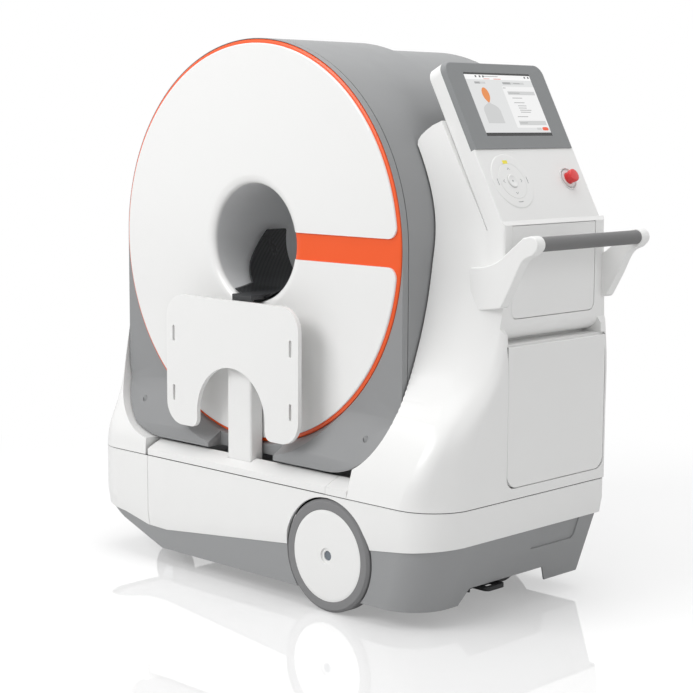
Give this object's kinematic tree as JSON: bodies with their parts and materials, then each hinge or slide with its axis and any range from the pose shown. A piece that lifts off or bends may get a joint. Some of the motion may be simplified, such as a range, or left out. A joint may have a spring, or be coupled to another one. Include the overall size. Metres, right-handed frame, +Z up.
{
  "type": "mobile ct scanner",
  "caption": "Mobile head scanner: ring gantry that slides along its bore on a wheeled base, with shoulder board, head holder and a console tower with display, bins and push bar.",
  "frame": {"origin": "centre of the machine's footprint, on the floor", "axes": "+X towards the push bar, +Y along the bore from the front ring to the rear, +Z up"},
  "size_m": [1.624, 0.9, 1.62],
  "materials": {
    "white_cover": "satin painted moulding",
    "white_frame": "powder coated",
    "orange_trim": "smooth coloured moulding",
    "grey_cover": "fine matt paint",
    "grey_grip": "smooth grip",
    "bore_lining": "smooth",
    "screen_glass": "flat display glass",
    "red_button": "gloss",
    "carbon_holder": "woven laminate",
    "bracket_metal": "brushed",
    "drive_tyre": "grey rubber",
    "frame_steel": "painted weldment",
    "rail_steel": "ground",
    "cast_plate": "machined",
    "unit_housing": "painted",
    "black_tread": "ribbed"
  },
  "bodies": {
    "root": {"board_bracket": "bracket_metal", "chassis_frame": "frame_steel", "console_head": "white_cover", "deck_cover": "white_cover", "display_bezel": "grey_cover", "drive_pad": "white_cover", "far_arm": "white_cover", "front_motor": "unit_housing", "head_holder": "carbon_holder", "holder_bracket": "bracket_metal", "left_band": "white_cover", "left_wing": "white_cover", "main_band": "white_cover", "near_arm": "white_cover", "post": "white_frame", "push_bar": "grey_grip", "rails": "rail_steel", "rear_barrel": "grey_cover", "rear_bore_tube": "bore_lining", "rear_cover": "grey_cover", "rear_motor": "unit_housing", "screen": "screen_glass", "skirt": "grey_cover", "stop_collar": "white_cover", "tower_shell": "white_cover"},
    "gantry": {"front_cover": "white_cover", "backing_disc": "orange_trim", "bore_tube": "bore_lining", "front_rim": "grey_cover", "rim_plugs": "grey_cover", "sleeve": "grey_cover", "stator_plate": "cast_plate", "outer_race": "rail_steel", "gantry_bed": "cast_plate", "carriage_blocks": "rail_steel"},
    "rotor": {"inner_race": "rail_steel", "rotor_plate": "cast_plate", "ray_tube": "unit_housing", "collimator": "unit_housing", "detector_arc": "unit_housing", "high_voltage_unit": "unit_housing", "cooler_unit": "unit_housing"},
    "front_wheel": {"front_tyre": "drive_tyre", "front_hub": "white_cover"},
    "rear_wheel": {"rear_tyre": "drive_tyre", "rear_hub": "white_cover"},
    "board": {"shoulder_board": "white_frame"},
    "upper_flap": {"upper_flap": "white_cover"},
    "lower_door": {"lower_door": "white_cover"},
    "stop_button": {"stop_button": "red_button"},
    "drive_button": {"drive_button": "white_cover"},
    "brake_pedal": {"brake_pedal": "black_tread"},
    "left_front_fork": {"left_front_fork": "rail_steel"},
    "left_front_roller": {"left_front_roller": "drive_tyre"},
    "left_rear_fork": {"left_rear_fork": "rail_steel"},
    "left_rear_roller": {"left_rear_roller": "drive_tyre"},
    "right_front_fork": {"right_front_fork": "rail_steel"},
    "right_front_roller": {"right_front_roller": "drive_tyre"},
    "right_rear_fork": {"right_rear_fork": "rail_steel"},
    "right_rear_roller": {"right_rear_roller": "drive_tyre"}
  },
  "joints": [
    {"name": "gantry_slide", "type": "slide", "parent": "root", "child": "gantry", "axis": [0, 1, 0], "range_m": [0, 0.3]},
    {"name": "rotor_spin", "type": "hinge", "parent": "gantry", "child": "rotor", "pos_m": [-0.12, -0.266, 1.023], "axis": [0, 1, 0], "continuous": true},
    {"name": "front_wheel_spin", "type": "hinge", "parent": "root", "child": "front_wheel", "pos_m": [0.285, -0.422, 0.163], "axis": [0, 1, 0], "continuous": true},
    {"name": "rear_wheel_spin", "type": "hinge", "parent": "root", "child": "rear_wheel", "pos_m": [0.285, 0.287, 0.163], "axis": [0, 1, 0], "continuous": true},
    {"name": "board_fold", "type": "hinge", "parent": "root", "child": "board", "pos_m": [-0.12, -0.4255, 0.838], "axis": [-1, 0, 0], "range_deg": [0, 90]},
    {"name": "upper_flap_tilt", "type": "hinge", "parent": "root", "child": "upper_flap", "pos_m": [0.666, 0.07, 0.848], "axis": [0, 1, 0], "range_deg": [0, 18]},
    {"name": "lower_door_tilt", "type": "hinge", "parent": "root", "child": "lower_door", "pos_m": [0.687, 0.07, 0.378], "axis": [0, 1, 0], "range_deg": [0, 60]},
    {"name": "stop_press", "type": "slide", "parent": "root", "child": "stop_button", "axis": [-0.8846, 0, -0.4664], "range_m": [0, 0.006], "stiffness_N_per_m": 1500, "springref_m": -0.002},
    {"name": "drive_press", "type": "slide", "parent": "root", "child": "drive_button", "axis": [-0.8846, 0, -0.4664], "range_m": [0, 0.0015], "stiffness_N_per_m": 1500, "springref_m": -0.002},
    {"name": "pedal_press", "type": "hinge", "parent": "root", "child": "brake_pedal", "pos_m": [0.58, -0.132, 0.082], "axis": [0, 1, 0], "range_deg": [0, 15], "stiffness_Nm_per_rad": 6, "springref_deg": -8.59},
    {"name": "left_front_swivel", "type": "hinge", "parent": "root", "child": "left_front_fork", "pos_m": [-0.65, -0.255, 0.2], "axis": [0, 0, 1], "continuous": true},
    {"name": "left_front_roll", "type": "hinge", "parent": "left_front_fork", "child": "left_front_roller", "pos_m": [-0.61, -0.255, 0.08], "axis": [0, 1, 0], "continuous": true},
    {"name": "left_rear_swivel", "type": "hinge", "parent": "root", "child": "left_rear_fork", "pos_m": [-0.65, 0.13, 0.2], "axis": [0, 0, 1], "continuous": true},
    {"name": "left_rear_roll", "type": "hinge", "parent": "left_rear_fork", "child": "left_rear_roller", "pos_m": [-0.61, 0.13, 0.08], "axis": [0, 1, 0], "continuous": true},
    {"name": "right_front_swivel", "type": "hinge", "parent": "root", "child": "right_front_fork", "pos_m": [0.455, -0.255, 0.2], "axis": [0, 0, 1], "continuous": true},
    {"name": "right_front_roll", "type": "hinge", "parent": "right_front_fork", "child": "right_front_roller", "pos_m": [0.415, -0.255, 0.08], "axis": [0, 1, 0], "continuous": true},
    {"name": "right_rear_swivel", "type": "hinge", "parent": "root", "child": "right_rear_fork", "pos_m": [0.455, 0.13, 0.2], "axis": [0, 0, 1], "continuous": true},
    {"name": "right_rear_roll", "type": "hinge", "parent": "right_rear_fork", "child": "right_rear_roller", "pos_m": [0.415, 0.13, 0.08], "axis": [0, 1, 0], "continuous": true}
  ]
}
